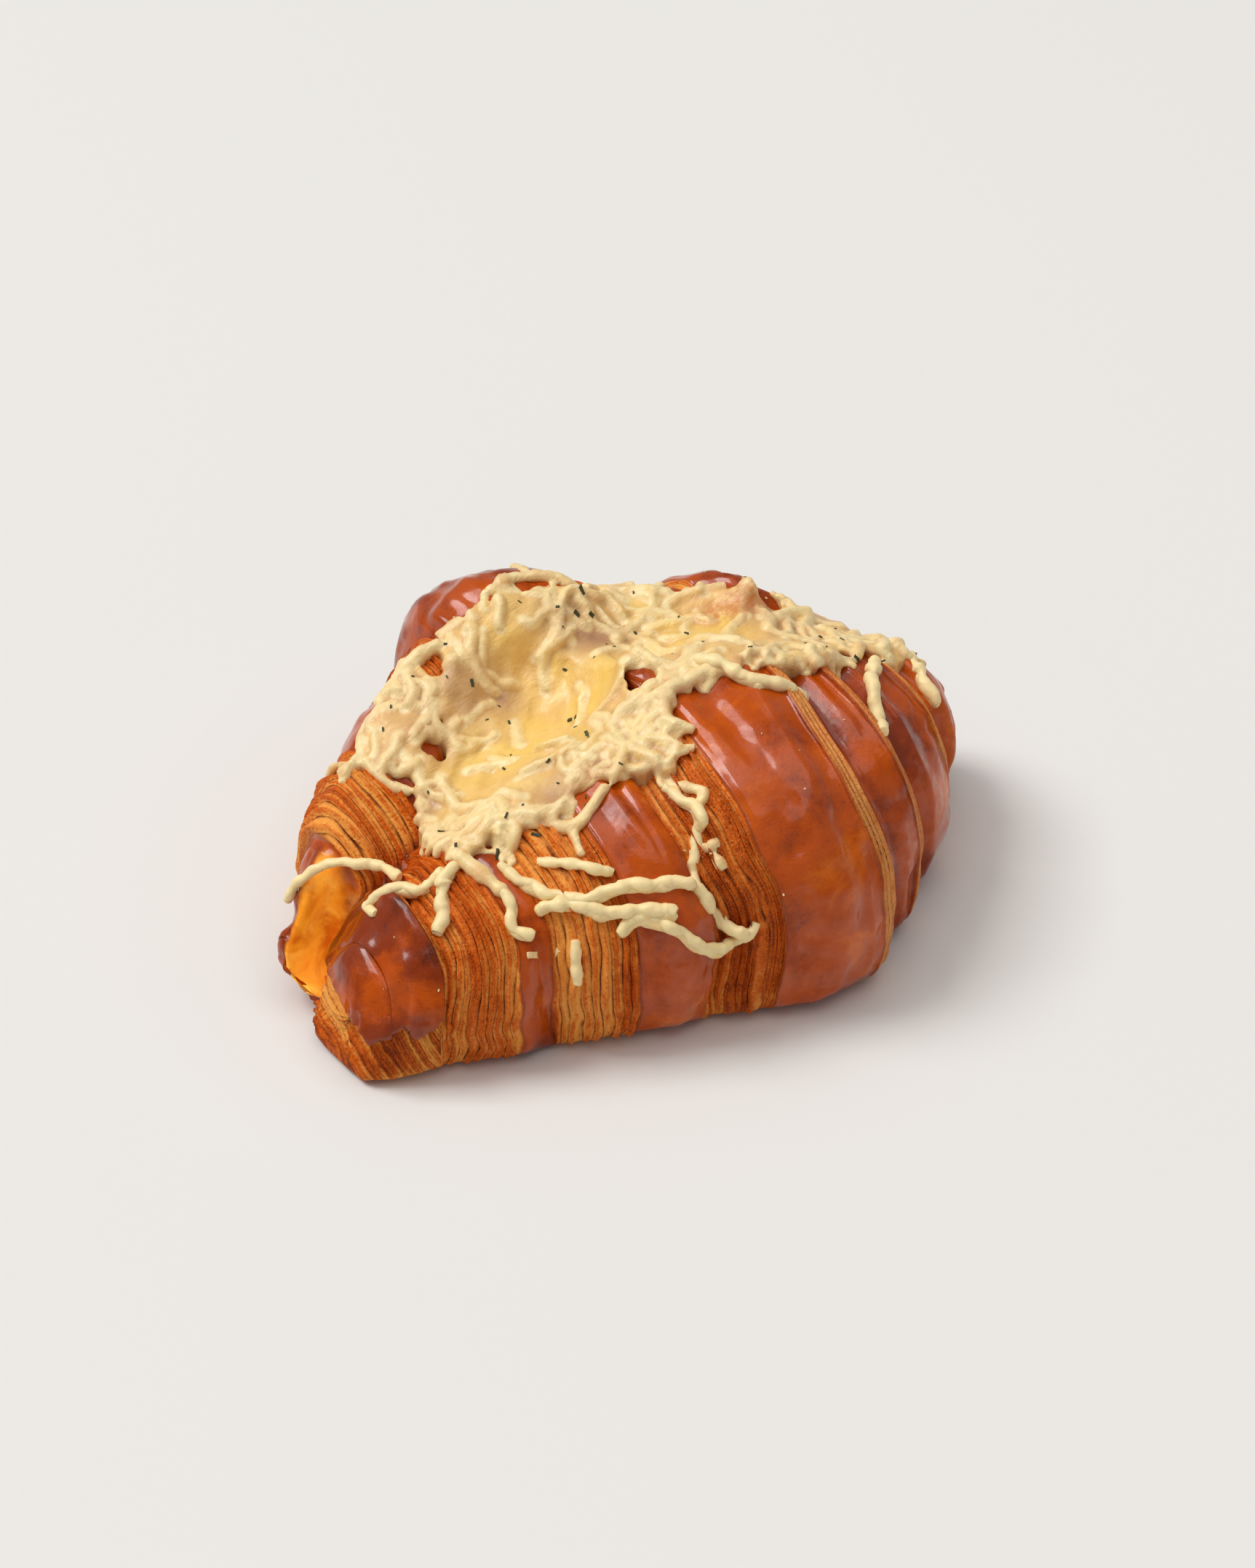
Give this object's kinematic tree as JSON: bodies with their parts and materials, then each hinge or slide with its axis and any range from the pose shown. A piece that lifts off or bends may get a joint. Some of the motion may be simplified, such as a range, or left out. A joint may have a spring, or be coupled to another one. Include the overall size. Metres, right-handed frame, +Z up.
{
  "type": "croissant",
  "caption": "Baked filled croissant, split open along its top, with ham in the valley under melted and grated cheese with herbs.",
  "frame": {"origin": "middle of the bounding box seen from above, at the flat foot the croissant rests on", "axes": "+X along the croissant from the open horn to the closed horn, +Y from the front roll to the rear roll, +Z up"},
  "size_m": [0.1626, 0.1256, 0.0601],
  "materials": {
    "baked_dough": "glossy egg-washed crust with matte laminated edges",
    "ham": "moist, soft sheen",
    "melted_cheese": "soft satin, slightly translucent",
    "grated_cheese": "matte to satin, lightly browned ends"
  },
  "bodies": {
    "root": {"pastry": "baked_dough", "ham_slice": "ham", "melted_cheese": "melted_cheese", "strand_bridge": "grated_cheese", "strand_horn_low": "grated_cheese", "strand_horn_top": "grated_cheese", "strand_hook": "grated_cheese", "strand_long_upper": "grated_cheese", "strand_corner": "grated_cheese", "strand_long_lower": "grated_cheese", "strand_drooping": "grated_cheese", "strand_steep": "grated_cheese", "strand_middle": "grated_cheese", "strand_crest": "grated_cheese", "strand_right": "grated_cheese", "strand_end": "grated_cheese", "strand_loose": "grated_cheese"}
  },
  "joints": []
}
